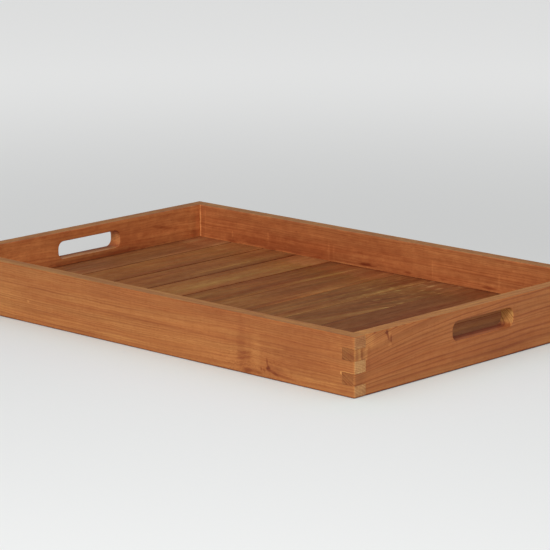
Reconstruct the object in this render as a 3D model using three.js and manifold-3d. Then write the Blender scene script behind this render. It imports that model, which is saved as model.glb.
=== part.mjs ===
// A solid hardwood serving tray. Four boards are joined by finger joints at the corners, with a hand slot
// through each short board. The floor is made of tongued and grooved slats that run from the front board to
// the back board, and a tongue all round the floor sits in a groove inside the frame.
//
// Millimetres, +Z up. The origin is the middle of the footprint, on the surface that the tray stands on.
// X runs from the left hand slot to the right one, and Y from the front board to the back board.

import * as THREE from 'three';
import { mergeVertices } from 'three/addons/utils/BufferGeometryUtils.js';
import Module from 'manifold-3d';

// Frame
const LENGTH = 740;
const WIDTH = 480;
const HEIGHT = 75;
const BOARD = 20; // thickness of the frame's boards
const ARRIS = 1.5; // radius sanded on the frame's top and bottom edges
const CORNER = 2.5; // radius sanded on its upright corners

// Finger joints: counted from below, the long boards hold fingers 0, 2 and 4, and the short boards 1 and 3
const FINGERS = 5;
const SHORT_BOARD_FINGERS = [1, 3];
const JOINT_GAP = 0.1; // line of glue between two fingers

// Hand slots, halfway along the short boards
const SLOT_LENGTH = 118;
const SLOT_BOTTOM = 36.5;
const SLOT_TOP = 61.5;
const SLOT_CORNER = 10;
const SLOT_ARRIS = 1;

// Floor
const SLAT_PITCHES = [66, 64, 66, 67, 63, 62, 62, 62, 62, 63, 63]; // from left to right, seam to seam
const FLOOR_TOP = 28;
const SLAT = 12; // thickness of the slats
const SEAM = 0.8; // open joint between two slats
const SLAT_CHAMFER = 0.8; // on the upper edges along each seam
const END_GAP = 0.4; // between the floor's edge and the frame

// Tongues along the slats and round the floor, and the grooves that take them
const TONGUE = 5; // thickness
const TONGUE_REACH = 6;
const GROOVE_DEPTH = 7;
const GROOVE_PLAY = 0.2; // above and below the tongue

// How finely the round stretches are cut
const ARRIS_STEPS = 3;
const CORNER_STEPS = 6;

// Worked out from the above
const INNER_LENGTH = LENGTH - 2 * BOARD;
const INNER_WIDTH = WIDTH - 2 * BOARD;
const FINGER = HEIGHT / FINGERS;
const SLAT_BOTTOM = FLOOR_TOP - SLAT;
const TONGUE_BOTTOM = SLAT_BOTTOM + (SLAT - TONGUE) / 2;
const TONGUE_TOP = TONGUE_BOTTOM + TONGUE;
const PAST = 1; // how far a cutter runs past the surface that it opens

const wasm = await Module();
wasm.setup();

const frameWood = new THREE.MeshStandardMaterial({ color: 0xa5683f, roughness: 0.55, metalness: 0 });
const floorWood = new THREE.MeshStandardMaterial({ color: 0x774a2d, roughness: 0.5, metalness: 0 });

// A closed three.js geometry as a manifold solid.
function toSolid(geometry) {
  geometry.deleteAttribute('normal');
  geometry.deleteAttribute('uv');
  const merged = mergeVertices(geometry);
  return new wasm.Manifold(new wasm.Mesh({
    numProp: 3,
    vertProperties: merged.attributes.position.array,
    triVerts: new Uint32Array(merged.index.array),
  }));
}

// A manifold solid as a named three.js mesh.
function toMesh(name, solid, material) {
  const { vertProperties, triVerts } = solid.getMesh();
  const geometry = new THREE.BufferGeometry();
  geometry.setAttribute('position', new THREE.BufferAttribute(vertProperties, 3));
  geometry.setIndex(new THREE.BufferAttribute(triVerts, 1));
  geometry.computeVertexNormals();
  const mesh = new THREE.Mesh(geometry, material);
  mesh.name = name;
  return mesh;
}

// A box between two opposite corners.
function box([x0, y0, z0], [x1, y1, z1]) {
  const geometry = new THREE.BoxGeometry(x1 - x0, y1 - y0, z1 - z0);
  return toSolid(geometry.translate((x0 + x1) / 2, (y0 + y1) / 2, (z0 + z1) / 2));
}

// A rectangle round the origin, with round corners.
function roundRectangle(width, height, radius) {
  const x = width / 2 - radius;
  const y = height / 2 - radius;
  const quarter = Math.PI / 2;
  const shape = new THREE.Shape();
  shape.absarc(x, y, radius, 0, quarter);
  shape.absarc(-x, y, radius, quarter, 2 * quarter);
  shape.absarc(-x, -y, radius, 2 * quarter, 3 * quarter);
  shape.absarc(x, -y, radius, 3 * quarter, 4 * quarter);
  return shape;
}

// An outline raised from z = 0 to the depth. Its ends are rounded over: between them the outline is wider by
// the growth all round. A negative growth makes the cutter for a hole with rounded mouths.
function roundedPrism(outline, depth, growth) {
  const radius = Math.abs(growth);
  return new THREE.ExtrudeGeometry(outline, {
    depth: depth - 2 * radius,
    bevelThickness: radius,
    bevelSize: growth,
    bevelSegments: ARRIS_STEPS,
    curveSegments: CORNER_STEPS,
  }).translate(0, 0, radius);
}

// The whole frame as one sanded ring, before it is divided into its boards.
function frameRing() {
  const outside = roundRectangle(LENGTH - 2 * ARRIS, WIDTH - 2 * ARRIS, CORNER - ARRIS);
  const mouth = new THREE.Shape([[-1, -1], [1, -1], [1, 1], [-1, 1]].map(([i, j]) => (
    new THREE.Vector2(i * (INNER_LENGTH / 2 + ARRIS), j * (INNER_WIDTH / 2 + ARRIS))
  )));
  return toSolid(roundedPrism(outside, HEIGHT, ARRIS))
    .subtract(toSolid(roundedPrism(mouth, HEIGHT, -ARRIS)));
}

// The space of the short boards' fingers at both ends of both long boards, wider by the gap where they meet
// the long boards.
function shortBoardFingers(gap) {
  const cutters = [];
  for (const finger of SHORT_BOARD_FINGERS) {
    for (const side of [-1, 1]) {
      const near = side * (INNER_LENGTH / 2 - gap);
      const far = side * (LENGTH / 2 + PAST);
      cutters.push(box(
        [Math.min(near, far), -WIDTH / 2 - PAST, finger * FINGER - gap],
        [Math.max(near, far), WIDTH / 2 + PAST, (finger + 1) * FINGER + gap],
      ));
    }
  }
  return wasm.Manifold.union(cutters);
}

// The space that the floor's tongue takes inside the frame, on all four sides.
function floorGroove() {
  const x = INNER_LENGTH / 2 + GROOVE_DEPTH;
  const y = INNER_WIDTH / 2 + GROOVE_DEPTH;
  return box([-x, -y, TONGUE_BOTTOM - GROOVE_PLAY], [x, y, TONGUE_TOP + GROOVE_PLAY]);
}

// The cutter for the hand slots in both short boards.
function handSlots() {
  const length = SLOT_LENGTH + 2 * SLOT_ARRIS;
  const height = SLOT_TOP - SLOT_BOTTOM + 2 * SLOT_ARRIS;
  const slot = roundedPrism(roundRectangle(length, height, SLOT_CORNER + SLOT_ARRIS), BOARD, -SLOT_ARRIS);
  slot.rotateX(Math.PI / 2).rotateZ(Math.PI / 2).translate(0, 0, (SLOT_TOP + SLOT_BOTTOM) / 2);
  const left = slot.clone().translate(-LENGTH / 2, 0, 0);
  const right = slot.translate(INNER_LENGTH / 2, 0, 0);
  return toSolid(left).add(toSolid(right));
}

function frameBoards() {
  const ring = frameRing().subtract(floorGroove());
  const [x, y] = [LENGTH / 2, WIDTH / 2];
  const longRing = ring.subtract(shortBoardFingers(0));
  const longBoard = (y0, y1) => longRing.intersect(box([-x, y0, 0], [x, y1, HEIGHT]));
  const middle = box([-x, -INNER_WIDTH / 2 + JOINT_GAP, 0], [x, INNER_WIDTH / 2 - JOINT_GAP, HEIGHT]);
  const shortRing = ring.intersect(middle.add(shortBoardFingers(-JOINT_GAP))).subtract(handSlots());
  const shortBoard = (x0, x1) => shortRing.intersect(box([x0, -y, 0], [x1, y, HEIGHT]));
  return [
    toMesh('front_rail', longBoard(-y, -y + BOARD), frameWood),
    toMesh('back_rail', longBoard(y - BOARD, y), frameWood),
    toMesh('left_handle_rail', shortBoard(-x, -x + BOARD), frameWood),
    toMesh('right_handle_rail', shortBoard(x - BOARD, x), frameWood),
  ];
}

// One slat between its two seams. Its right edge has a tongue. Its left edge has a groove for its
// neighbour's tongue, or on the first slat a tongue of its own, and both ends have a tongue.
function slat(left, right, isFirst, isLast) {
  const x0 = left + (isFirst ? END_GAP : SEAM / 2);
  const x1 = right - (isLast ? END_GAP : SEAM / 2);
  const leftEdge = isFirst
    ? [
      [x0, TONGUE_TOP],
      [x0 - TONGUE_REACH, TONGUE_TOP],
      [x0 - TONGUE_REACH, TONGUE_BOTTOM],
      [x0, TONGUE_BOTTOM],
    ]
    : [
      [x0, TONGUE_TOP + GROOVE_PLAY],
      [x0 + GROOVE_DEPTH, TONGUE_TOP + GROOVE_PLAY],
      [x0 + GROOVE_DEPTH, TONGUE_BOTTOM - GROOVE_PLAY],
      [x0, TONGUE_BOTTOM - GROOVE_PLAY],
    ];
  const section = new THREE.Shape([
    [x0, SLAT_BOTTOM],
    [x1, SLAT_BOTTOM],
    [x1, TONGUE_BOTTOM],
    [x1 + TONGUE_REACH, TONGUE_BOTTOM],
    [x1 + TONGUE_REACH, TONGUE_TOP],
    [x1, TONGUE_TOP],
    [x1, FLOOR_TOP - SLAT_CHAMFER],
    [x1 - SLAT_CHAMFER, FLOOR_TOP],
    [x0 + SLAT_CHAMFER, FLOOR_TOP],
    [x0, FLOOR_TOP - SLAT_CHAMFER],
    ...leftEdge,
  ].map(([x, z]) => new THREE.Vector2(x, z)));
  const shoulder = INNER_WIDTH / 2 - END_GAP;
  const end = shoulder + TONGUE_REACH;
  const board = new THREE.ExtrudeGeometry(section, { depth: 2 * end, bevelEnabled: false });
  board.rotateX(Math.PI / 2).translate(0, end, 0);
  const far = end + PAST;
  const [low, high] = [left - BOARD, right + BOARD];
  const rebates = [-1, 1].flatMap((side) => [
    box([low, Math.min(side * shoulder, side * far), SLAT_BOTTOM - PAST],
      [high, Math.max(side * shoulder, side * far), TONGUE_BOTTOM]),
    box([low, Math.min(side * shoulder, side * far), TONGUE_TOP],
      [high, Math.max(side * shoulder, side * far), FLOOR_TOP + PAST]),
  ]);
  return toSolid(board).subtract(wasm.Manifold.union(rebates));
}

function floorSlats() {
  let seam = -INNER_LENGTH / 2;
  return SLAT_PITCHES.map((pitch, i) => {
    const solid = slat(seam, seam + pitch, i === 0, i === SLAT_PITCHES.length - 1);
    seam += pitch;
    return toMesh(`floor_slat_${String(i + 1).padStart(2, '0')}`, solid, floorWood);
  });
}

const tray = new THREE.Group();
tray.add(...frameBoards(), ...floorSlats());

export default tray;
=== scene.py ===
import math
from dataclasses import dataclass, replace

import bmesh
import bpy
from mathutils import Matrix, Vector


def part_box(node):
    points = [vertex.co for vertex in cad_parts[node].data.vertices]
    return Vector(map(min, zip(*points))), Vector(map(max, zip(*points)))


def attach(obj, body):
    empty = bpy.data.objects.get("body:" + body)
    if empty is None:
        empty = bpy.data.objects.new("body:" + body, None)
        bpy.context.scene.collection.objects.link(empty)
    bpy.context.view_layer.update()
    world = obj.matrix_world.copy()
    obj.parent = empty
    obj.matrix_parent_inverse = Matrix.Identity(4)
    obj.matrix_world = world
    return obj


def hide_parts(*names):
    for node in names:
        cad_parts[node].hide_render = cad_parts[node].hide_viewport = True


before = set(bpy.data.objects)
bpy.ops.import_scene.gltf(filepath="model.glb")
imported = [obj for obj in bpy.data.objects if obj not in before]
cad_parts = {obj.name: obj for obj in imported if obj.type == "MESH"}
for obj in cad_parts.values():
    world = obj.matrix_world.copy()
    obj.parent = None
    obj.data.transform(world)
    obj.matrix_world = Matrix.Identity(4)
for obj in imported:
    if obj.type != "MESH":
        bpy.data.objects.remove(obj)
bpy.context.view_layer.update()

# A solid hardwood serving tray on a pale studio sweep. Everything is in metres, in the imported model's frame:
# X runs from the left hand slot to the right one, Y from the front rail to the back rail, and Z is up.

MM = 0.001
BODY = "root"

# ---------------------------------------------------------------------------------------------------------
# Sizes
# ---------------------------------------------------------------------------------------------------------

front_low, front_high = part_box("front_rail")
LENGTH = front_high.x - front_low.x
WIDTH = -2 * front_low.y
HEIGHT = front_high.z
BOARD = front_high.y - front_low.y
INNER_LENGTH = LENGTH - 2 * BOARD
INNER_WIDTH = WIDTH - 2 * BOARD

ARRIS = 1.5 * MM  # radius sanded on the frame's top and bottom edges
CORNER = 2.5 * MM  # radius sanded on its upright corners
ARRIS_STEPS = 6
CORNER_STEPS = 8
SHARP = math.radians(28)  # faces that meet at more than this keep a crisp edge
WELD = 0.002 * MM  # vertices that are closer than this become one
LEVEL = math.radians(0.05)  # faces that meet at less than this become one

FINGERS = 5
SHORT_RAIL_FINGERS = (1, 3)
JOINT_GAP = 0.25 * MM  # left open between the fingers

SLOT_LENGTH = 118 * MM
SLOT_BOTTOM = 36.5 * MM
SLOT_TOP = 61.5 * MM
SLOT_CORNER = 10 * MM
SLOT_ARRIS = 1 * MM
SLOT_STEPS = 12

SLAT = 12 * MM
TONGUE = 5 * MM
TONGUE_REACH = 6 * MM
GROOVE_DEPTH = 7 * MM
GROOVE_PLAY = 0.2 * MM
FLOOR_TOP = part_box("floor_slat_01")[1].z
SLAT_BOTTOM = FLOOR_TOP - SLAT
TONGUE_BOTTOM = SLAT_BOTTOM + (SLAT - TONGUE) / 2
TONGUE_TOP = TONGUE_BOTTOM + TONGUE
PAST = 2 * MM  # how far a cutter runs past the surface that it opens

# ---------------------------------------------------------------------------------------------------------
# Mesh tools
# ---------------------------------------------------------------------------------------------------------


def to_object(name, bm):
    """Turns a bmesh into an object at the origin."""
    bmesh.ops.recalc_face_normals(bm, faces=bm.faces)
    mesh = bpy.data.meshes.new(name)
    bm.to_mesh(mesh)
    bm.free()
    made = bpy.data.objects.new(name, mesh)
    bpy.context.scene.collection.objects.link(made)
    return made


def loft(name, rings):
    """A closed solid through rings of points, all with the same count, with both ends capped."""
    bm = bmesh.new()
    loops = [[bm.verts.new(point) for point in ring] for ring in rings]
    for lower, upper in zip(loops, loops[1:]):
        for i in range(len(lower)):
            j = (i + 1) % len(lower)
            bm.faces.new((lower[i], lower[j], upper[j], upper[i]))
    bm.faces.new(reversed(loops[0]))
    bm.faces.new(loops[-1])
    return to_object(name, bm)


def block(low, high):
    """A box between two opposite corners, for cutting with."""
    corners = [(low[0], low[1]), (high[0], low[1]), (high[0], high[1]), (low[0], high[1])]
    return loft("cutter", [[(x, y, z) for x, y in corners] for z in (low[2], high[2])])


def round_rectangle(width, height, radius, steps):
    """A rectangle round the origin with round corners, as points in order."""
    points = []
    for turn, (i, j) in enumerate(((1, 1), (-1, 1), (-1, -1), (1, -1))):
        for step in range(steps + 1):
            angle = (turn + step / steps) * math.pi / 2
            points.append((
                i * (width / 2 - radius) + radius * math.cos(angle),
                j * (height / 2 - radius) + radius * math.sin(angle),
            ))
    return points


def rounded_ends(depth, radius, steps):
    """Pairs of inset and height up a side whose lower and upper edges are rounded over."""
    arc = [step / steps * math.pi / 2 for step in range(steps + 1)]
    lower = [(radius * (1 - math.sin(a)), radius * (1 - math.cos(a))) for a in arc]
    return lower + [(inset, depth - height) for inset, height in reversed(lower)]


def combine(piece, operation, cutter):
    """Joins, cuts or intersects the piece with the cutter, which is used up."""
    step = piece.modifiers.new(operation, "BOOLEAN")
    step.operation = operation
    step.solver = "EXACT"
    step.object = cutter
    graph = bpy.context.evaluated_depsgraph_get()
    result = bpy.data.meshes.new_from_object(piece.evaluated_get(graph), depsgraph=graph)
    piece.modifiers.clear()
    piece.data = result
    bpy.data.objects.remove(cutter)
    return piece


def finish_mesh(piece):
    """Cleans a finished solid up, and shades its round stretches smooth and its flats flat."""
    bm = bmesh.new()
    bm.from_mesh(piece.data)
    bmesh.ops.remove_doubles(bm, verts=bm.verts, dist=WELD)
    bmesh.ops.dissolve_limit(bm, angle_limit=LEVEL, verts=bm.verts, edges=bm.edges)
    for face in bm.faces:
        face.smooth = True
    for edge in bm.edges:
        edge.smooth = edge.is_manifold and edge.calc_face_angle() < SHARP
    bm.to_mesh(piece.data)
    bm.free()
    shading = piece.modifiers.new("flat_faces_stay_flat", "WEIGHTED_NORMAL")
    shading.keep_sharp = True
    return piece


# ---------------------------------------------------------------------------------------------------------
# Frame
# ---------------------------------------------------------------------------------------------------------


def frame_outside():
    """The sanded outside of the whole frame."""
    return loft("cutter", [
        [
            (x, y, height)
            for x, y in round_rectangle(
                LENGTH - 2 * inset, WIDTH - 2 * inset, CORNER - inset, CORNER_STEPS
            )
        ]
        for inset, height in rounded_ends(HEIGHT, ARRIS, ARRIS_STEPS)
    ])


def frame_opening():
    """The space inside the frame, wider at its top and bottom where the edges are rounded over."""
    rings = rounded_ends(HEIGHT, ARRIS, ARRIS_STEPS)
    rings = [(ARRIS, -PAST), *rings, (ARRIS, HEIGHT + PAST)]
    return loft("cutter", [
        [
            (i * (INNER_LENGTH / 2 + outset), j * (INNER_WIDTH / 2 + outset), height)
            for i, j in ((-1, -1), (1, -1), (1, 1), (-1, 1))
        ]
        for outset, height in rings
    ])


def floor_groove():
    """The space that the floor's tongue takes inside the frame."""
    x = INNER_LENGTH / 2 + GROOVE_DEPTH
    y = INNER_WIDTH / 2 + GROOVE_DEPTH
    return block((-x, -y, TONGUE_BOTTOM - GROOVE_PLAY), (x, y, TONGUE_TOP + GROOVE_PLAY))


def sand(board):
    """Rounds a board's edges as part of the assembled frame, and cuts the floor's groove in it."""
    combine(board, "INTERSECT", frame_outside())
    combine(board, "DIFFERENCE", frame_opening())
    return combine(board, "DIFFERENCE", floor_groove())


def long_rail(name, side):
    """The front rail, with side -1, or the back rail, with side 1."""
    finger = HEIGHT / FINGERS
    inner, outer = side * INNER_WIDTH / 2, side * (WIDTH / 2 + PAST)
    y0, y1 = min(inner, outer), max(inner, outer)
    x = LENGTH / 2 + PAST
    board = block((-x, y0, -PAST), (x, y1, HEIGHT + PAST))
    board.name = name
    for number in SHORT_RAIL_FINGERS:
        for end in (-1, 1):
            near, far = end * INNER_LENGTH / 2, end * (x + PAST)
            combine(board, "DIFFERENCE", block(
                (min(near, far), y0 - PAST, number * finger),
                (max(near, far), y1 + PAST, (number + 1) * finger),
            ))
    return finish_mesh(sand(board))


def hand_slot(side):
    """The cutter for the hand slot in the left rail, with side -1, or the right one, with side 1."""
    height = SLOT_TOP - SLOT_BOTTOM
    middle = (SLOT_TOP + SLOT_BOTTOM) / 2
    start = -LENGTH / 2 if side < 0 else INNER_LENGTH / 2
    rings = rounded_ends(BOARD, SLOT_ARRIS, ARRIS_STEPS)
    rings = [(SLOT_ARRIS, -PAST), *rings, (SLOT_ARRIS, BOARD + PAST)]
    return loft("cutter", [
        [
            (start + depth, y, middle + z)
            for y, z in round_rectangle(
                SLOT_LENGTH + 2 * outset, height + 2 * outset, SLOT_CORNER + outset, SLOT_STEPS
            )
        ]
        for outset, depth in rings
    ])


def handle_rail(name, side):
    """The left rail, with side -1, or the right rail, with side 1."""
    finger = HEIGHT / FINGERS
    inner, outer = side * INNER_LENGTH / 2, side * (LENGTH / 2 + PAST)
    x0, x1 = min(inner, outer), max(inner, outer)
    y = INNER_WIDTH / 2 - JOINT_GAP
    board = block((x0, -y, -PAST), (x1, y, HEIGHT + PAST))
    board.name = name
    near, far = side * (INNER_LENGTH / 2 + JOINT_GAP), side * (LENGTH / 2 + PAST)
    for number in SHORT_RAIL_FINGERS:
        for end in (-1, 1):
            start, stop = end * (y - PAST), end * (WIDTH / 2 + PAST)
            combine(board, "UNION", block(
                (min(near, far), min(start, stop), number * finger + JOINT_GAP),
                (max(near, far), max(start, stop), (number + 1) * finger - JOINT_GAP),
            ))
    sand(board)
    return finish_mesh(combine(board, "DIFFERENCE", hand_slot(side)))


# ---------------------------------------------------------------------------------------------------------
# Floor
# ---------------------------------------------------------------------------------------------------------

CROWN = 0.2 * MM  # how much lower a slat's edges are than its middle
EDGE_SHARE = 0.7  # radius sanded along a slat's upper edges, as a share of the seam beside them
EDGE_LIMITS = (0.25 * MM, 0.8 * MM)  # and the least and the most that it comes to
EDGE_STEPS = 4
CROWN_STEPS = 10

# The open joint on the right of each slat, tight in the middle of the floor, and how far each slat's top
# lies under the highest one's.
SEAMS = (1.1, 1.2, 1.7, 1.2, 0.15, 0.2, 0.1, 0.2, 0.15, 0.8, 0.8)  # millimetres
DROPS = (0.10, 0.02, 0.14, 0.0, 0.08, 0.05, 0.07, 0.05, 0.03, 0.10, 0.04)  # millimetres


def edge_radius(seam):
    """How far the edges beside a seam are rounded over: the tighter the seam, the less."""
    return min(max(seam * EDGE_SHARE, EDGE_LIMITS[0]), EDGE_LIMITS[1])


def rounded_edge(x, side, radius, crown):
    """A slat's upper edge at x, on its left with side -1 or its right with side 1, from the side upwards."""
    shoulder = crown(x) - radius
    angles = [step / EDGE_STEPS * math.pi / 2 for step in range(EDGE_STEPS + 1)]
    return [(x - side * radius * (1 - math.cos(a)), shoulder + radius * math.sin(a)) for a in angles]


def slat_section(x0, x1, drop, left_radius, right_radius, first):
    """A slat's section as points (x, z), anticlockwise seen from the front, from its lower left corner."""
    middle, half = (x0 + x1) / 2, (x1 - x0) / 2
    top = FLOOR_TOP - drop

    def crown(x):
        return top - CROWN * ((x - middle) / half) ** 2

    right_edge = rounded_edge(x1, 1, right_radius, crown)
    left_edge = reversed(rounded_edge(x0, -1, left_radius, crown))
    start, stop = x1 - right_radius, x0 + left_radius
    across = [
        (x, crown(x))
        for x in (start + (stop - start) * step / CROWN_STEPS for step in range(1, CROWN_STEPS))
    ]
    if first:
        reach = x0 - TONGUE_REACH
        side = [(x0, TONGUE_TOP), (reach, TONGUE_TOP), (reach, TONGUE_BOTTOM), (x0, TONGUE_BOTTOM)]
    else:
        depth = x0 + GROOVE_DEPTH
        low, high = TONGUE_BOTTOM - GROOVE_PLAY, TONGUE_TOP + GROOVE_PLAY
        side = [(x0, high), (depth, high), (depth, low), (x0, low)]
    tongue = [
        (x1, TONGUE_BOTTOM),
        (x1 + TONGUE_REACH, TONGUE_BOTTOM),
        (x1 + TONGUE_REACH, TONGUE_TOP),
        (x1, TONGUE_TOP),
    ]
    return [(x0, SLAT_BOTTOM), (x1, SLAT_BOTTOM), *tongue, *right_edge, *across, *left_edge, *side]


def slat_name(number):
    """The CAD node of the floor slat with that number, counted from the left."""
    return f"floor_slat_{number:02d}"


def slat(number):
    """One floor slat, in the place of its CAD node. Its right side lies one seam before the next slat."""
    low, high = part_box(slat_name(number))
    first, last = number == 1, number == len(SEAMS)
    x0 = low.x + TONGUE_REACH if first else low.x
    left_seam = SEAMS[number - 1] if first else SEAMS[number - 2]
    right_seam = SEAMS[number - 1]
    x1 = high.x - TONGUE_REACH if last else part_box(slat_name(number + 1))[0].x - right_seam * MM
    section = slat_section(
        x0, x1, DROPS[number - 1] * MM, edge_radius(left_seam * MM), edge_radius(right_seam * MM), first
    )
    made = loft(slat_name(number) + "_oiled", [[(x, y, z) for x, z in section] for y in (low.y, high.y)])
    shoulder = high.y - TONGUE_REACH
    left, right = low.x - PAST, high.x + PAST
    for end in (-1, 1):
        near, far = end * shoulder, end * (high.y + PAST)
        y0, y1 = min(near, far), max(near, far)
        combine(made, "DIFFERENCE", block((left, y0, SLAT_BOTTOM - PAST), (right, y1, TONGUE_BOTTOM)))
        combine(made, "DIFFERENCE", block((left, y0, TONGUE_TOP), (right, y1, FLOOR_TOP + PAST)))
    return finish_mesh(made)


# ---------------------------------------------------------------------------------------------------------
# Wood
# ---------------------------------------------------------------------------------------------------------


class Field:
    """A number that varies over a surface: one socket of a material's node tree, with arithmetic."""

    def __init__(self, tree, socket):
        self.tree = tree
        self.socket = socket

    def calculate(self, operation, *others):
        """The result of one step of arithmetic on this field and on others, or on plain numbers."""
        node = self.tree.nodes.new("ShaderNodeMath")
        node.operation = operation
        for socket, value in zip(node.inputs, (self, *others)):
            if isinstance(value, Field):
                self.tree.links.new(value.socket, socket)
            else:
                socket.default_value = value
        return Field(self.tree, node.outputs[0])

    def __add__(self, other):
        return self.calculate("ADD", other)

    def __sub__(self, other):
        return self.calculate("SUBTRACT", other)

    def __mul__(self, other):
        return self.calculate("MULTIPLY", other)

    def __truediv__(self, other):
        return self.calculate("DIVIDE", other)

    def power(self, other):
        return self.calculate("POWER", other)

    def highest(self, other):
        return self.calculate("MAXIMUM", other)

    def size(self):
        return self.calculate("ABSOLUTE")

    def smooth(self, start, stop, low=0.0, high=1.0):
        """Rises smoothly from low, where the field is at start, to high, where it is at stop."""
        node = self.tree.nodes.new("ShaderNodeMapRange")
        node.interpolation_type = "SMOOTHSTEP"
        self.tree.links.new(self.socket, node.inputs["Value"])
        node.inputs["From Min"].default_value = start
        node.inputs["From Max"].default_value = stop
        node.inputs["To Min"].default_value = low
        node.inputs["To Max"].default_value = high
        return Field(self.tree, node.outputs[0])


def distance(*parts):
    """The square root of the sum of the parts' squares."""
    total = parts[0] * parts[0]
    for part in parts[1:]:
        total = total + part * part
    return total.calculate("SQRT")


def combined(parts, kind):
    """The node socket that three fields make together: a vector, of kind XYZ, or a Color."""
    tree = parts[0].tree
    node = tree.nodes.new("ShaderNodeCombine" + kind)
    for socket, part in zip(node.inputs, parts):
        tree.links.new(part.socket, socket)
    return node.outputs[0]


SEED_SHIFTS = (17.31, 7.73, 29.57)  # how far one step of the seed moves a point, in grain sizes
NOISE_RANGE = (0.2, 0.8)  # what nearly all of Blender's noise lies between
PORE_EDGE = (0.42, 0.12)  # where a dash starts and where it is full, in cells from its middle
CHOICE_EDGE = 0.02  # how soft the choice is between cells that have a dash and cells that don't


def scaled(point, size, seed):
    """The point in units of a grain size, moved to a part of the noise that only this seed uses."""
    steps = zip(point, size, SEED_SHIFTS)
    return combined([part / step + seed * shift for part, step, shift in steps], "XYZ")


def noise(point, size, seed, detail=2.0):
    """Soft noise from about -1 to 1, with features of the given size along the point's three parts."""
    tree = point[0].tree
    node = tree.nodes.new("ShaderNodeTexNoise")
    node.inputs["Scale"].default_value = 1.0
    node.inputs["Detail"].default_value = detail
    tree.links.new(scaled(point, size, seed), node.inputs["Vector"])
    return Field(tree, node.outputs[0]).smooth(*NOISE_RANGE, -1.0, 1.0)


def chance(field):
    """A random number from 0 to 1 for each value of the field."""
    node = field.tree.nodes.new("ShaderNodeTexWhiteNoise")
    node.noise_dimensions = "1D"
    field.tree.links.new(field.socket, node.inputs["W"])
    return Field(field.tree, node.outputs["Value"])


def pores(point, size, share, seed):
    """Short dashes along the grain, 1 at their middle, in that share of the cells of a given size."""
    tree = point[0].tree
    node = tree.nodes.new("ShaderNodeTexVoronoi")
    node.inputs["Scale"].default_value = 1.0
    tree.links.new(scaled(point, size, seed), node.inputs["Vector"])
    channels = tree.nodes.new("ShaderNodeSeparateColor")
    tree.links.new(node.outputs["Color"], channels.inputs[0])
    chosen = Field(tree, channels.outputs[0]).smooth(1 - share, 1 - share + CHOICE_EDGE)
    return Field(tree, node.outputs["Distance"]).smooth(*PORE_EDGE) * chosen


@dataclass
class Knot:
    """A knot on a board's face: its place along and across the grain, its radius and its stretch, in mm.

    Where dark is 0 it lies just under the surface, and only the grain that parts round it shows.
    """

    along: float
    across: float
    radius: float
    stretch: float = 1.5
    dark: float = 0.5


@dataclass
class Mark:
    """A soft oval patch on a board, denser than the wood round it, or paler where depth is below 0."""

    along: float
    across: float
    length: float
    height: float
    depth: float
    turn: float = 0.0  # degrees that its length turns from the grain, up the board where it is above 0
    grey: float = 0.0  # how much greyer it is
    soft: float = 1.2  # how far its edge fades, as a share of its half width
    on: str = "all"  # or "near" or "far", for one side of the board, or "end", for its end grain
    olive: float = 0.0  # how much greener it is


@dataclass
class Wood:
    """How one board was cut from its log and what its grain looks like, in mm."""

    base: tuple
    grain: str  # the axes along the grain, across the broad face and through the thickness
    pith: tuple = (-150.0, 0.0)  # the middle of the log, across and through
    spacing: float = 4.5
    late: float = 0.3  # where in each ring, as a share of its width, the late wood starts
    ring: float = 0.2
    wander: float = 2.5
    lean: float = 0.0  # how fast the grain crosses the board, up it or to the right
    cloud: float = 0.04
    band: float = 0.05
    streak: float = 0.08
    fine: float = 0.06
    mottle: float = 0.03
    pore: float = 0.25
    fleck: float = 0.0  # how much paler its short pale dashes are
    fleck_reach: tuple = (0, 90)  # where they begin along the board, and where they are in full
    grey: float = 0.04  # how much the wood turns greyer from place to place
    olive: float = 0.0  # how much greener it is all over
    edge_shade: float = 0.1  # how much denser the sanded edges are: painted shade, in the slats' seams and over the rails' lit edges
    corner: float = 0.0  # and the frame's upright corners, where values below 0 paint a highlight
    foot_shade: float = 0.0  # and the lower edge: painted shade where it meets the table
    top: float = 0.0  # and the upper edge: painted shade, and a painted highlight where it is below 0
    top_sheen_grey: float = 0.0  # how much greyer the upper edge is: a painted sheen, the backdrop's reflection at a grazing view
    top_sheen_olive: float = 0.0  # and how much greener, with that painted sheen
    ledge_shade: tuple = (0.0, 0.0)  # how much denser the hand slot's lower side is, outside and inside: painted shade, paler where below 0
    ledge_shade_grey: float = 0.0  # and how much greyer, with that painted shade
    end: float = -0.1  # how much denser end grain is at the board's ends
    slot_end: float = -0.1  # and in the hand slot
    end_sheen_grey: float = 0.0  # how much greyer end grain is: a painted sheen
    end_olive: float = 0.0  # and how much greener
    gloss: float = 0.28
    knots: tuple = ()
    marks: tuple = ()
    sweep: tuple = ()  # grain that climbs from an end: where from, how far it reaches, and how steeply
    seed: int = 1


DENSITY_HUE = (1.0, 1.65, 1.85)  # how much faster green and blue darken than red where the wood is denser
GREY_HUE = (0.8, -0.2, -0.6)  # how red, green and blue darken where the wood is greyer
OLIVE_HUE = (0.3, -1.0, 0.7)  # and where it is greener
TO_MM = 1 / MM
SLOT_MIDDLE = (SLOT_BOTTOM + SLOT_TOP) / 2 / MM
LEDGE = (LENGTH / 2 / MM, INNER_LENGTH / 2 / MM)  # the slot's lower side, from outside to inside
LEDGE_DROP = 4  # mm under the slot's middle where all that faces up is its lower side
NEAR_END = 0.3 * LENGTH / MM  # end grain further than this from the middle is at a board's end
END_FADE = 1.05  # and all of it is, at this many times as far
FOOT_SHADE_LINE = (2.4 * MM, 0.4 * MM)  # the height where the painted shade on the lower edge starts and where it is full

# How far a face's normal points along an axis, from 0 to 1, where a mask starts and where it is full.
FACES_UP = (0.8, 1.0)
FACES_ALONG = (0.6, 0.9)  # along the grain, as end grain does
FACES_THROUGH = (0.2, 0.8)  # through the board, as one of its broad sides does
FACES_BETWEEN = (0.995, 0.9)  # the most along any one axis, at a rounded edge
FACES_CORNER = (0.15, 0.45)  # along X and along Y, at an upright corner

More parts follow.
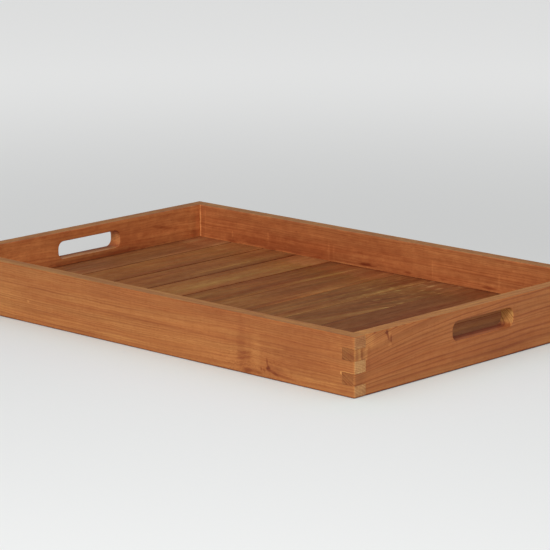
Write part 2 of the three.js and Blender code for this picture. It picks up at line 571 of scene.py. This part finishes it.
# Sizes of what makes up the grain, in mm along it, across it and through the board.
DRIFT = (240, 60, 60)
RIPPLE = (50, 12, 12)
DEPTH_DRIFT = (260, 70, 70)
RING_PATCH = (110, 9, 9)
CLOUD = (90, 34, 34)
BAND = (420, 14, 14)
STREAK = (90, 2.4, 2.4)
FINE = (16, 0.45, 0.45)
MOTTLE = (14, 9, 9)
PORE = (7.0, 0.62, 0.62)
FLECK = (26.0, 3.0, 3.0)
GREY_PATCH = (160, 11, 11)
RIPPLE_SHARE = 0.35  # how far the ripple moves the fibres, as a share of the drift
PORE_SHARE = 0.35  # how many of the cells hold a pore
FLECK_SHARE = 0.5  # or a fleck

# Knots. Distances from a knot's middle are in its radii.
KNOT_PUSH = 0.85  # how far the fibres part round it
KNOT_CORE = 0.15  # which keeps that finite at its middle
KNOT_STRAY = (0.7, 0.5)  # how far its outline strays along and across the grain
KNOT_OUTLINE = ((5, 3, 3), (3, 5, 5))  # sizes of that stray along and across, as above
KNOT_PATCH = (3, 1.2, 1.2)
KNOT_PATCH_DEPTH = 0.35
KNOT_BODY = (1.15, 0.75)  # where it starts and where it is full
BARK_INSIDE = (0.7, 0.95)  # and the ring of bark round it, on its inner side
BARK_OUTSIDE = (1.25, 1.0)  # and on its outer side
BARK_DEPTH = 0.7
HALO = (3.2, 1.0)  # the denser wood round the knot
HALO_DEPTH = 0.25

RING_RUN = (4.0, 1e3, 1e3)  # over how many rings their widths change
RING_CHANGE = 1.2  # and how far that moves a ring, in ring widths
RING_STRENGTHS = (0.6, 1.15)  # of the weakest and the strongest ring
RING_FADE = 0.35  # how far their strength comes and goes along the board
END_RINGS = 0.3  # how much stronger they are in end grain
LATE_WOOD = (0.84, 0.88)  # where in a ring its late wood is in full
MARK_STRAY = 0.3  # how far a mark's outline strays, as a share of its half width
MARK_OUTLINE = ((9, 4, 4), (12, 4, 4))  # sizes of that stray along and across
OIL_ROUGHNESS = 0.56


def material_tree(name):
    """A new material's node tree, and its object coordinates and normal as fields for X, Y and Z."""
    material = bpy.data.materials.new(name)
    material.use_nodes = True
    tree = material.node_tree
    source = tree.nodes.new("ShaderNodeTexCoord")
    fields = []
    for output in ("Object", "Normal"):
        split = tree.nodes.new("ShaderNodeSeparateXYZ")
        tree.links.new(source.outputs[output], split.inputs[0])
        fields.append({axis: Field(tree, split.outputs[axis]) for axis in "XYZ"})
    return material, tree, *fields


def bend_round_knots(point, flow, wood):
    """Parts the fibres round each knot, and gives the knots' own density."""
    along, across, _ = point
    total = across * 0.0
    for knot in wood.knots:
        bent = noise(point, KNOT_OUTLINE[0], wood.seed + 30, detail=3.0) * (knot.radius * KNOT_STRAY[0])
        raised = noise(point, KNOT_OUTLINE[1], wood.seed + 32, detail=3.0) * (knot.radius * KNOT_STRAY[1])
        x = (along - knot.along + bent) / knot.stretch
        y = across - knot.across + raised
        square = x * x + y * y
        push = (square + KNOT_CORE * knot.radius ** 2).power(-1.0) * knot.radius ** 2
        flow = flow - y * push * KNOT_PUSH
        if knot.dark:
            rim = square.calculate("SQRT") / knot.radius
            body = rim.smooth(*KNOT_BODY)
            bark = rim.smooth(*BARK_INSIDE) * rim.smooth(*BARK_OUTSIDE) * BARK_DEPTH
            halo = rim.smooth(*HALO) * HALO_DEPTH
            ragged = noise(point, KNOT_PATCH, wood.seed + 31) * KNOT_PATCH_DEPTH + 1.0
            total = total + (body + bark + halo) * ragged * knot.dark
    return flow, total


def ring_lines(radius, wood):
    """The growth rings, from 0 in early wood to 1 in late wood, with their own widths and strengths."""
    steady = radius / wood.spacing
    uneven = noise((steady, steady, steady), RING_RUN, wood.seed + 3, detail=1.0)
    count = steady + uneven * RING_CHANGE
    age = count.calculate("FRACT")
    strength = chance(count.calculate("FLOOR") + float(wood.seed)).smooth(0.0, 1.0, *RING_STRENGTHS)
    return age.smooth(wood.late, LATE_WOOD[0]) * age.smooth(1.0, LATE_WOOD[1]) * strength


def mark_patches(point, wood, end_grain, through_face):
    """How much denser, greyer and greener the marks are, each mark with a slightly ragged outline."""
    along, across, _ = point
    density = across * 0.0
    grey = across * 0.0
    olive = across * 0.0
    start, full = FACES_THROUGH
    seen = {
        "near": through_face.smooth(-start, -full),
        "far": through_face.smooth(start, full),
        "end": end_grain,
    }
    ragged_along = noise(point, MARK_OUTLINE[0], wood.seed + 33) * MARK_STRAY
    ragged_across = noise(point, MARK_OUTLINE[1], wood.seed + 34) * MARK_STRAY
    for mark in wood.marks:
        cosine, sine = math.cos(math.radians(mark.turn)), math.sin(math.radians(mark.turn))
        x, y = along - mark.along, across - mark.across
        x, y = x * cosine + y * sine, y * cosine - x * sine
        away = distance(x / (mark.length / 2) + ragged_along, y / (mark.height / 2) + ragged_across)
        patch = away.smooth(1 + mark.soft / 2, 1 - mark.soft / 2)
        if mark.on != "all":
            patch = patch * seen[mark.on]
        density = density + patch * mark.depth
        if mark.grey:
            grey = grey + patch * mark.grey
        if mark.olive:
            olive = olive + patch * mark.olive
    return density, grey, olive


def oiled_wood(name, wood):
    """An oiled, sanded hardwood board: growth rings, fibres, pores, knots, stained patches and patches of
    painted shade and highlight.
    """
    material, tree, metres, facing = material_tree(name)
    shader = tree.nodes["Principled BSDF"]
    along, across, through = (metres[axis] * TO_MM for axis in wood.grain)
    point = (along, across, through)
    faces = [facing[axis] for axis in wood.grain]
    end_grain = faces[0].size().smooth(*FACES_ALONG)
    # Rounded edges, where the painted edge shade goes.
    edge_shade = faces[0].size().highest(faces[1].size()).highest(faces[2].size()).smooth(*FACES_BETWEEN)

    # The fibres wander a little, and part round the knots.
    flow = across - along * wood.lean + noise(point, DRIFT, wood.seed) * wood.wander
    flow = flow + noise(point, RIPPLE, wood.seed + 1) * (wood.wander * RIPPLE_SHARE)
    if wood.sweep:
        start, reach, amount = wood.sweep
        fade = ((along - start) * (-1.0 / reach)).calculate("EXPONENT")
        flow = flow + across * fade * amount
    deep = through + noise(point, DEPTH_DRIFT, wood.seed + 2) * wood.wander
    flow, knot_density = bend_round_knots(point, flow, wood)
    fibres = (along, flow, deep)

    # The board's tone, layer by layer.
    radius = distance(flow - wood.pith[0], deep - wood.pith[1])
    rings = ring_lines(radius, wood) * (noise(point, RING_PATCH, wood.seed + 10) * RING_FADE + 1.0)
    cloud = noise(point, CLOUD, wood.seed + 12)
    band = noise(fibres, BAND, wood.seed + 4, detail=1.0)
    streak = noise(fibres, STREAK, wood.seed + 5, detail=3.0)
    fine = noise(fibres, FINE, wood.seed + 6)
    mottle = noise(point, MOTTLE, wood.seed + 7, detail=3.0)
    pore = pores(fibres, PORE, PORE_SHARE, wood.seed + 8)
    marks, mark_grey, mark_olive = mark_patches(point, wood, end_grain, faces[2])

    mean_ring = 0.42 - 0.35 * wood.late  # about what the rings come to on average
    density = (rings - mean_ring) * (end_grain * END_RINGS + 1.0) * wood.ring + cloud * wood.cloud
    density = density + band * wood.band + streak * wood.streak + fine * wood.fine
    density = density + mottle * wood.mottle + pore * wood.pore + knot_density + marks
    if wood.fleck:
        fleck = pores(fibres, FLECK, FLECK_SHARE, wood.seed + 9) * along.smooth(*wood.fleck_reach)
        density = density - fleck * wood.fleck

    # Painted shade, highlights and sheen on its edges, corners, top, end grain, foot and hand slot, and its
    # end grain's own tone at the ends and in the slot.
    upwards = facing["Z"].smooth(*FACES_UP)
    # The rail's top face, which gets painted shade and a painted sheen.
    top = upwards * metres["Z"].smooth(SLOT_TOP, HEIGHT)
    # Upright corners, where a painted highlight goes.
    upright = facing["X"].size().smooth(*FACES_CORNER) * facing["Y"].size().smooth(*FACES_CORNER)
    far_end = along.size().smooth(NEAR_END, NEAR_END * END_FADE)
    density = density + edge_shade * wood.edge_shade + upright * wood.corner + top * wood.top
    density = density + end_grain * far_end * wood.end + end_grain * (far_end * -1.0 + 1.0) * wood.slot_end
    # Painted contact shade along the lower edge.
    if wood.foot_shade:
        density = density + metres["Z"].smooth(*FOOT_SHADE_LINE) * wood.foot_shade
    # Painted shade on the hand slot's lower side, changing from outside to inside.
    on_ledge = across * 0.0
    if any(wood.ledge_shade):
        on_ledge = upwards * across.smooth(SLOT_MIDDLE, SLOT_MIDDLE - LEDGE_DROP)
    ledge_shade = on_ledge * through.size().smooth(*LEDGE, *wood.ledge_shade)
    density = density + ledge_shade
    grey = noise(fibres, GREY_PATCH, wood.seed + 11) * wood.grey + mark_grey
    # The top and end grain turn greyer with painted sheen, the slot's lower side with painted shade.
    grey = grey + top * wood.top_sheen_grey + end_grain * wood.end_sheen_grey + on_ledge * wood.ledge_shade_grey
    olive = top * wood.top_sheen_olive + end_grain * wood.end_olive + mark_olive + wood.olive

    colour = [
        (density * -dense_hue - grey * grey_hue - olive * olive_hue).calculate("EXPONENT") * clear
        for clear, dense_hue, grey_hue, olive_hue in zip(wood.base, DENSITY_HUE, GREY_HUE, OLIVE_HUE)
    ]
    tree.links.new(combined(colour, "Color"), shader.inputs["Base Color"])

    # Pores, end grain and the hand slot's lower side under its painted shade are duller than the rest, and
    # late wood is shinier.
    roughness = streak * 0.04 + mottle * 0.04 + pore * 0.12 - rings * 0.05 + OIL_ROUGHNESS
    roughness = roughness + end_grain * 0.12 + ledge_shade * 0.4
    tree.links.new(roughness.socket, shader.inputs["Roughness"])
    shader.inputs["Specular IOR Level"].default_value = wood.gloss

    # Late wood stands a little proud, and pores are open. In mm.
    relief = rings * 0.012 + streak * 0.008 + fine * 0.006 - pore * 0.05
    bump = tree.nodes.new("ShaderNodeBump")
    bump.inputs["Distance"].default_value = MM
    tree.links.new(relief.socket, bump.inputs["Height"])
    tree.links.new(bump.outputs[0], shader.inputs["Normal"])
    return material


# ---------------------------------------------------------------------------------------------------------
# Boards
# ---------------------------------------------------------------------------------------------------------

RAIL_WOOD = (0.458, 0.158, 0.041)
HANDLE_WOOD = (0.416, 0.135, 0.035)
INNER_WOOD = (0.500, 0.153, 0.044)


def marks_on(side, *marks):
    """The same marks, but on one side of the board only."""
    return tuple(replace(mark, on=side) for mark in marks)


front_wood = Wood(
    base=RAIL_WOOD, grain="XZY", pith=(-150, -310), spacing=3.4, ring=0.18, wander=2.2,
    band=0.06, streak=0.08, top=0.05, top_sheen_grey=0.14, top_sheen_olive=0.06, end=-0.25, end_sheen_grey=0.26,
    end_olive=-0.10, corner=-0.16, foot_shade=0.5, gloss=0.26, seed=1,
    knots=(
        Knot(205, -6, 14, 1.6, 0.0),
        Knot(229, 14, 2.2, 1.2, 0.3),
    ),
    marks=(
        Mark(0, 66, 1400, 24, 0.08),
        Mark(-60, 8, 640, 28, -0.10, grey=-0.02),
        Mark(-300, 40, 120, 80, -0.06),
        Mark(-252, 30, 70, 30, -0.06),
        Mark(-190, 18, 90, 5, 0.12),
        Mark(-20, 15, 200, 6, 0.08, turn=-1),
        Mark(-110, 5, 110, 4, 0.12),
        Mark(-40, 38, 330, 2.6, 0.14),
        Mark(150, 38, 200, 2.2, 0.14),
        Mark(20, 29, 240, 14, -0.07),
        Mark(-211, 29, 5, 3, -0.3),
        Mark(183, 36, 12, 66, 0.12),
        Mark(190, 27, 20, 3.5, 0.22, turn=8),
        Mark(188, 20, 22, 3.5, 0.25, turn=12),
        Mark(186, 23, 18, 14, 0.10),
        Mark(193, 5, 14, 6, 0.5),
        Mark(206, 6, 12, 5, 0.25),
        Mark(208, 30, 14, 44, -0.12),
        Mark(232, 40, 60, 3, -0.14),
        Mark(230, 45, 90, 60, 0.05),
        Mark(226.5, 21, 10, 3, 0.42, turn=-78),
        Mark(229, 13, 7, 6, 0.42, turn=-50),
        Mark(237, 9, 16, 4, 0.40, turn=-16),
        Mark(256, 6.5, 34, 2.6, 0.25, turn=-3),
        Mark(214, 5, 8, 3, 0.25),
        Mark(217, 11, 2.5, 5, 0.25),
        Mark(221.5, 10, 2.5, 6, 0.3, turn=20),
        Mark(295, 52, 100, 40, 0.14),
        Mark(295, 24, 100, 18, 0.14),
        Mark(300, 11, 70, 8, -0.06),
        Mark(160, 66, 70, 14, 0.05),
        Mark(348.5, 28, 2.5, 4, -0.4, soft=0.6),
        Mark(360, 30.4, 22, 1.2, -0.3, soft=0.6),
        Mark(243, 11, 26, 12, 0.12),
        Mark(0, 77, 260, 5, 0.10),
        Mark(300, 77, 80, 5, -0.09),
        Mark(358, 67, 16, 12, 0.10),
        Mark(360, 68, 40, 14, 0.12, on="end"),
        Mark(360, 38, 40, 14, -0.06, on="end"),
        Mark(360, 8, 40, 12, -0.02, on="end"),
    ),
)
back_wood = Wood(
    base=INNER_WOOD, grain="XZY", olive=-0.02, pith=(-170, 330), spacing=3.0, ring=0.14, wander=1.6,
    cloud=0.08, band=0.07, streak=0.12, mottle=0.10, top=0.12, top_sheen_grey=0.22, top_sheen_olive=0.12, edge_shade=0.18,
    corner=-0.1, foot_shade=0.5, gloss=0.26, seed=5,
    marks=marks_on(
        "near",
        Mark(-22, 32.6, 28, 3.6, 0.75),
        Mark(-34, 48, 10, 3, 0.2),
        Mark(55, 32.5, 14, 3, 0.42),
        Mark(118, 32.5, 10, 3, 0.25),
        Mark(198, 32.5, 20, 3.5, 0.55),
        Mark(-283, 40, 3, 10, -0.18),
        Mark(-211, 48, 4, 9, -0.18),
        Mark(-211, 36, 4, 14, -0.10),
        Mark(-93, 42, 4, 22, -0.18),
        Mark(-84, 40, 4, 18, -0.14),
        Mark(99, 42, 2.5, 22, -0.1),
        Mark(216, 44, 4, 20, -0.14),
        Mark(-180, 36, 260, 12, 0.14),
        Mark(90, 34, 400, 14, 0.05),
        Mark(-235, 37, 120, 14, 0.06),
        Mark(0, 68, 900, 22, -0.06, grey=0.04),
        Mark(-300, 52, 120, 80, -0.06),
        Mark(120, 50, 280, 60, -0.05),
        # these five: a painted highlight along the rail's foot by the floor
        Mark(-318, 28.8, 34, 1.6, -0.22),
        Mark(-245, 28.8, 46, 1.6, -0.18),
        Mark(-160, 28.8, 60, 1.6, -0.2),
        Mark(-70, 28.8, 40, 1.6, -0.18),
        Mark(-10, 28.8, 70, 1.6, -0.14),
        Mark(-283, 29.5, 16, 3, 0.3),
        Mark(-205, 29.5, 20, 3, 0.25),
        Mark(-116, 29.5, 14, 3, 0.3),
        # painted highlight up the far corner, beside the joint
        Mark(-348.6, 50, 2.4, 80, -0.5, soft=0.8),
        Mark(-338, 52, 3, 50, -0.12),
    ),
)
right_wood = Wood(
    base=HANDLE_WOOD, grain="YZX", pith=(-100, 220), spacing=4.7, late=0.45, ring=0.30, wander=1.5,
    band=0.06, streak=0.08, seed=9, top=-0.02, top_sheen_grey=0.09, top_sheen_olive=0.06, end=0.13, slot_end=-0.46,
    end_sheen_grey=0.08, corner=-0.16, ledge_shade=(0.05, 0.8), foot_shade=0.9, gloss=0.26, sweep=(-240, 110, 0.8),
    knots=(Knot(-182, 71, 2.0, 1.2, 0.3),),
    marks=(
        Mark(-212, 67, 14, 16, -0.26),
        Mark(-219, 52, 5, 24, -0.18),
        Mark(-226.5, 52, 4, 16, 0.34),
        Mark(-230.5, 52, 3, 16, -0.10),
        Mark(-235.5, 52, 3, 16, 0.16),
        Mark(-231, 52, 20, 20, -0.20, grey=0.10),
        Mark(-231, 22, 20, 18, 0.12, grey=0.06),
        Mark(-198, 60, 40, 8, -0.14, turn=12),
        Mark(-180, 67, 13, 3, 0.45, turn=-70, soft=0.9),
        Mark(-174, 62, 9, 3, 0.45, turn=-86, soft=0.9),
        Mark(-177, 69, 5, 4, -0.2),
        Mark(-176, 54.5, 7, 5, -0.2),
        Mark(10, 77, 150, 5, -0.05),
        Mark(-216, 36, 10, 14, 0.10),
        Mark(-80, 45, 50, 18, -0.06),
        Mark(20, 16, 170, 34, 0.06),
        Mark(0, 32, 400, 36, 0.02, grey=-0.05),
        Mark(-238, 52, 8, 14, 0.22, on="end"),
        Mark(-238, 22, 8, 14, -0.06, on="end"),
    ),
)
left_wood = Wood(
    base=INNER_WOOD, grain="YZX", pith=(-120, -250), spacing=5.4, ring=0.13, wander=3.5, cloud=0.13,
    band=0.10, streak=0.07, mottle=0.10, seed=14, top=0.22, top_sheen_grey=0.22, top_sheen_olive=0.1, end=0.10,
    slot_end=-0.32, ledge_shade=(0.4, -0.35), ledge_shade_grey=0.25, edge_shade=0.15, foot_shade=0.9, corner=-0.1, gloss=0.26,
    marks=marks_on(
        "far",
        Mark(145, 52, 50, 4, 0.2, turn=-12),
        Mark(150, 60, 60, 24, 0.04),
        Mark(98, 47, 12, 8, -0.2),
        Mark(170, 54, 60, 6, -0.14, turn=-6),
        Mark(175, 52, 110, 60, -0.08, grey=0.03),
        Mark(208, 50, 8, 50, 0.14),
        Mark(70, 31, 40, 8, 0.16),
        # painted shade along the rail's foot by the floor
        Mark(10, 29.5, 180, 5, 0.4),
        Mark(-85, 52, 40, 50, -0.10),
        Mark(-130, 48, 60, 24, -0.10),
        Mark(140, 47, 48, 20, 0.08),
        Mark(205, 49, 14, 24, -0.08, grey=0.08),
        Mark(-125, 68, 70, 24, -0.18),
        Mark(0, 33, 140, 7, 0.0, grey=0.13),
        Mark(140, 33, 40, 8, 0.14),
        Mark(208, 67, 14, 16, -0.14),
    ),
)


SLAT_MIDDLE = 32  # mm from a slat's left edge, near enough
FAR_LIGHT_PATCH = (215, 90, 120)  # painted light and reflection on the slats by the back rail: its place along them, its length and its width
FAR_LIGHT_SOFT = 0.6  # how far its edge fades, as in a Mark
BACK_SHADE_LINE = (218, SLAT_MIDDLE, 8, 80, 0.28)  # a slat's dark line along the back rail: painted shade where it meets the rail


def slat_wood(number, base, cut, spacing, ring, far=(0.0, 0.05, -0.12), olive=0.05, marks=(), **grain):
    """A floor slat's wood. Its cut and its marks are placed from the slat's left edge.

    A mark lists the first few values of a Mark. By the back rail the slat is denser, greyer and greener by
    what far says, which paints light and reflection there: mostly paler and greyer.
    """
    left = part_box(slat_name(number))[0].x / MM
    spot, length, width = FAR_LIGHT_PATCH
    density, far_grey, far_olive = far
    return Wood(
        base=base, grain="YXZ", pith=(left + cut[0], cut[1]), spacing=spacing, ring=ring,
        marks=(
            Mark(
                spot, left + SLAT_MIDDLE, length, width, density,
                grey=far_grey, olive=far_olive, soft=FAR_LIGHT_SOFT,
            ),
            *(Mark(along, left + across, *shape) for along, across, *shape in marks),
        ),
        seed=20 + number, cloud=0.10, mottle=0.07, edge_shade=0.8, gloss=0.08, grey=0.09, olive=olive, **grain,
    )


slat_woods = (
    slat_wood(
        1, (0.252, 0.083, 0.023), (-80, -60), 6.0, 0.12, far=(-0.31, 0.05, -0.05), olive=-0.05,
        band=0.14, streak=0.14, marks=(
            # these two: painted shadow of the left rail along the slat's left edge
            (0, 7, 440, 6, 0.45),
            (0, 9, 180, 10, 0.2),
            (20, 36, 260, 100, 0, 0, 0.14),
            (110, 30, 100, 40, -0.08),
            (-40, 58, 140, 20, -0.08),
            (190, 20, 40, 16, -0.12),
        ),
    ),
    slat_wood(
        2, (0.262, 0.084, 0.0215), (150, -40), 7.5, 0.10, far=(-0.20, 0.06, -0.11),
        band=0.12, streak=0.11, marks=(
            (60, 4, 300, 6, -0.12),
            (100, 12, 120, 5, -0.10),
            (20, 32, 160, 34, 0.06),
            (205, 8, 70, 24, 0.10),
            # painted shade in the seam on the slat's right
            (0, 60, 440, 6, 0.16),
        ),
    ),
    slat_wood(
        3, (0.258, 0.082, 0.021), (-60, -90), 7.0, 0.12, far=(-0.15, 0.06, -0.11),
        band=0.11, streak=0.11, marks=(
            # painted shade in the seam on the slat's left
            (0, 2, 440, 6, 0.12),
            (60, 15, 240, 4, -0.12),
            (-30, 30, 100, 4, -0.14),
            (95, 46, 130, 7, -0.24, 0, 0.04),
            (60, 39, 200, 3, -0.14),
            (-10, 34, 130, 44, 0.10),
            (150, 56, 60, 20, 0.07),
            (40, 56, 330, 20, 0.02, 0, 0.10),
            # painted shade in the seam on the slat's right
            (0, 62, 440, 6, 0.24),
            (190, 58, 100, 14, 0.16),
        ),
    ),
    slat_wood(
        4, (0.294, 0.104, 0.027), (140, -120), 9.0, 0.06, far=(-0.21, 0.06, -0.15),
        band=0.08, streak=0.07, marks=(
            # painted shade in the seam on the slat's left
            (0, 2, 440, 4, 0.12),
            (120, 9, 150, 24, 0.24),
            (-10, 9, 200, 24, 0.11),
            (205, 9, 60, 24, 0.18),
            (60, 35, 240, 24, -0.10, 0, 0.03),
            (80, 55, 140, 20, 0.11),
            # painted shade in the seam on the slat's right
            (0, 64, 440, 6, 0.14),
        ),
    ),
    slat_wood(
        5, (0.222, 0.0635, 0.0157), (-70, -50), 6.5, 0.12, far=(-0.13, 0.05, -0.17), olive=0.09,
        band=0.14, streak=0.13, marks=(
            # painted shade in the seam on the slat's left
            (0, 5, 440, 9, 0.12),
            (142, 57.5, 150, 9.5, -0.27, 3.7, 0.05),
            (-10, 62, 120, 5, -0.20),
            (-35, 16, 110, 40, -0.18, 0, 0.03),
            (170, 24, 120, 34, 0.12, 0, 0.05),
            (205, 9, 60, 24, 0.04, 0, 0.14),
            (70, 32, 110, 60, 0.05, 0, -0.06),
            BACK_SHADE_LINE,
        ),
    ),
    slat_wood(
        6, (0.2185, 0.0682, 0.0171), (130, -70), 7.0, 0.10, far=(-0.19, 0.05, -0.16),
        band=0.14, streak=0.13, marks=(
            (62, 56, 100, 9, -0.28, 0, 0.04),
            (0, 60, 100, 4, -0.24),
            (130, 32, 200, 30, 0.10),
            (30, 52, 150, 22, 0.0, 0, -0.10),
            (-35, 12, 110, 26, -0.14, 0, 0.06),
            BACK_SHADE_LINE,
        ),
    ),
    slat_wood(
        7, (0.221, 0.074, 0.020), (-50, -60), 5.5, 0.12, far=(-0.09, 0.05, -0.11),
        fleck=0.45, band=0.16, streak=0.15, marks=(
            (120, 54, 150, 12, -0.35, 0, 0.05),
            (195, 58.5, 44, 5, -0.3, 8),
            (0, 59, 120, 5, -0.28),
            (180, 40, 60, 30, 0.12),
            (195, 12, 50, 20, 0.05),
            (85, 22, 90, 40, 0.06, 0, 0.05),
            (-20, 32, 120, 50, -0.05),
            BACK_SHADE_LINE,
        ),
    ),
    slat_wood(
        8, (0.200, 0.067, 0.0193), (110, -30), 5.0, 0.14, far=(-0.17, 0.03, -0.13), lean=0.2,
        band=0.16, streak=0.18, fleck=0.75, marks=(
            (25, 55, 190, 9, -0.11, 7),
            (60, 32, 120, 14, 0.06),
            (155, 20, 60, 40, -0.04),
            (95, 20, 90, 34, 0.10),
            (192, 52, 40, 24, -0.14),
            BACK_SHADE_LINE,
        ),
    ),
    slat_wood(
        9, (0.187, 0.0585, 0.0176), (-90, -80), 6.5, 0.09, far=(-0.05, -0.02, -0.08),
        band=0.13, streak=0.11, marks=(
            (50, 54, 260, 24, 0.17, 0, -0.10),
            (-30, 10, 100, 26, -0.08),
            (195, 10, 80, 24, -0.14),
            BACK_SHADE_LINE,
        ),
    ),
    slat_wood(10, (0.182, 0.0504, 0.012), (-60, -70), 6.0, 0.12, band=0.14, streak=0.12),
    slat_wood(11, (0.174, 0.0487, 0.0112), (120, -60), 7.0, 0.10, band=0.14, streak=0.12),
)

# ---------------------------------------------------------------------------------------------------------
# Pieces
# ---------------------------------------------------------------------------------------------------------


def place(piece, node, wood):
    """Gives a finished piece its wood, hangs it from the body's empty and hides the CAD node that it stands
    for.
    """
    piece.data.materials.clear()
    piece.data.materials.append(oiled_wood(node + "_wood", wood))
    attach(piece, BODY)
    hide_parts(node)


for node, side, wood in (("front_rail", -1, front_wood), ("back_rail", 1, back_wood)):
    place(long_rail(node + "_oiled", side), node, wood)
for node, side, wood in (("left_handle_rail", -1, left_wood), ("right_handle_rail", 1, right_wood)):
    place(handle_rail(node + "_oiled", side), node, wood)
for number, wood in enumerate(slat_woods, 1):
    place(slat(number), slat_name(number), wood)

# ---------------------------------------------------------------------------------------------------------
# Studio
# ---------------------------------------------------------------------------------------------------------

# The camera: angles in radians, distances in metres, its lens and its sensor in millimetres.
AZIMUTH = 0.7616  # how far it goes round the tray, from the front to the right
ELEVATION = 0.21696
ROLL = -0.0053
DISTANCE = 3.882
TARGET = Vector((-0.0544, 0.0695, 0.0375))
LENS = 186.36
SENSOR = 36
CAMERA_REACH = 100

PAPER_TONES_AND_SHADOW = (0.84, 0.765)  # in front of the tray and, darker as a painted shadow, behind it
PAPER_HUE = (1.0, 1.012, 1.008)
NEAR_HUE = (0.98, 1.042, 1.018)  # the paper's hue round the tray, greener to offset the warm light that the tray bounces on it: painted light
NEAR_REACH = 0.12  # metres from the tray
PAPER_TURN = (-0.5, 0.5)  # metres behind the tray over which one tone turns into the other
PAPER_SIZE = 8  # metres from its middle to its edges
PAPER_TOP = -0.2 * MM  # just under the tray
PAPER_BOTTOM = -0.1
GLOW_FROM = 0.5  # metres from the tray's middle towards the camera
GLOW_REACH = (0.8, 2.9)  # metres from there
GLOW_TONES = (0.0, 0.29)  # the paper's own light at those distances
SKY = 0.36
SKY_RISE = (-0.1, 0.8)  # from just under the horizon towards the zenith
SKY_TONES = (0.2, 1.65)  # the sky's light at those heights

camera_data = bpy.data.cameras.new("camera")
camera = bpy.data.objects.new("camera", camera_data)
bpy.context.scene.collection.objects.link(camera)
camera_data.lens = LENS
camera_data.sensor_width = SENSOR
camera_data.clip_end = CAMERA_REACH
turn = (
    Matrix.Rotation(AZIMUTH, 4, "Z")
    @ Matrix.Rotation(math.pi / 2 - ELEVATION, 4, "X")
    @ Matrix.Rotation(ROLL, 4, "Z")
)
camera.matrix_world = Matrix.Translation(TARGET + turn @ Vector((0, 0, DISTANCE))) @ turn
bpy.context.scene.camera = camera


def sweep_paper():
    """The studio's pale paper, darker behind the tray as a painted shadow, which brightens a little a long way
    off with painted light of its own, as a lit backdrop does.
    """
    material, tree, metres, _ = material_tree("sweep_paper")
    shader = tree.nodes["Principled BSDF"]
    shader.inputs["Roughness"].default_value = 0.7
    shader.inputs["Specular IOR Level"].default_value = 0.2
    x, y = metres["X"], metres["Y"]
    behind = y * math.cos(AZIMUTH) - x * math.sin(AZIMUTH)
    tone = behind.smooth(*PAPER_TURN, *PAPER_TONES_AND_SHADOW)
    beside = (x.size() - LENGTH / 2).highest(0.0)
    before = (y.size() - WIDTH / 2).highest(0.0)
    near = distance(beside, before).smooth(NEAR_REACH, 0.0)
    colour = [tone * (near * (close - usual) + usual) for usual, close in zip(PAPER_HUE, NEAR_HUE)]
    tree.links.new(combined(colour, "Color"), shader.inputs["Base Color"])
    away = distance(x - GLOW_FROM * math.sin(AZIMUTH), y + GLOW_FROM * math.cos(AZIMUTH))
    glow = away.smooth(*GLOW_REACH, *GLOW_TONES)
    tree.links.new(glow.socket, shader.inputs["Emission Strength"])
    shader.inputs["Emission Color"].default_value = (1, 1, 1, 1)
    return material


floor = block((-PAPER_SIZE, -PAPER_SIZE, PAPER_BOTTOM), (PAPER_SIZE, PAPER_SIZE, PAPER_TOP))
floor.name = "studio_floor"
floor.data.materials.append(sweep_paper())

world = bpy.data.worlds.new("studio")
bpy.context.scene.world = world
world.use_nodes = True
sky_tree = world.node_tree
sky = sky_tree.nodes["Background"]
sky.inputs["Strength"].default_value = SKY
direction = sky_tree.nodes.new("ShaderNodeTexCoord")
split = sky_tree.nodes.new("ShaderNodeSeparateXYZ")
sky_tree.links.new(direction.outputs["Generated"], split.inputs[0])
rise = Field(sky_tree, split.outputs["Z"]).smooth(*SKY_RISE, *SKY_TONES)
sky_tree.links.new(rise.socket, sky.inputs["Color"])


def softbox(name, spot, size, power):
    """A square light at that spot, aimed at the tray's middle."""
    data = bpy.data.lights.new(name, "AREA")
    data.shape = "SQUARE"
    data.size = size
    data.energy = power
    light = bpy.data.objects.new(name, data)
    bpy.context.scene.collection.objects.link(light)
    light.location = spot
    light.rotation_euler = (-Vector(spot)).to_track_quat("-Z", "Y").to_euler()


def around(azimuth, elevation, distance):
    """A place on a sphere round the tray. Azimuth 0 is in front of it, and 90 to its right."""
    a, e = math.radians(azimuth), math.radians(elevation)
    return distance * Vector((math.sin(a) * math.cos(e), -math.cos(a) * math.cos(e), math.sin(e)))


softbox("key", around(34, 37, 4.0), size=2.2, power=83)
softbox("overhead", (0.1, 0.1, 2.4), size=2.0, power=4)

bpy.context.scene.view_settings.view_transform = "Standard"

bpy.context.view_layer.update()
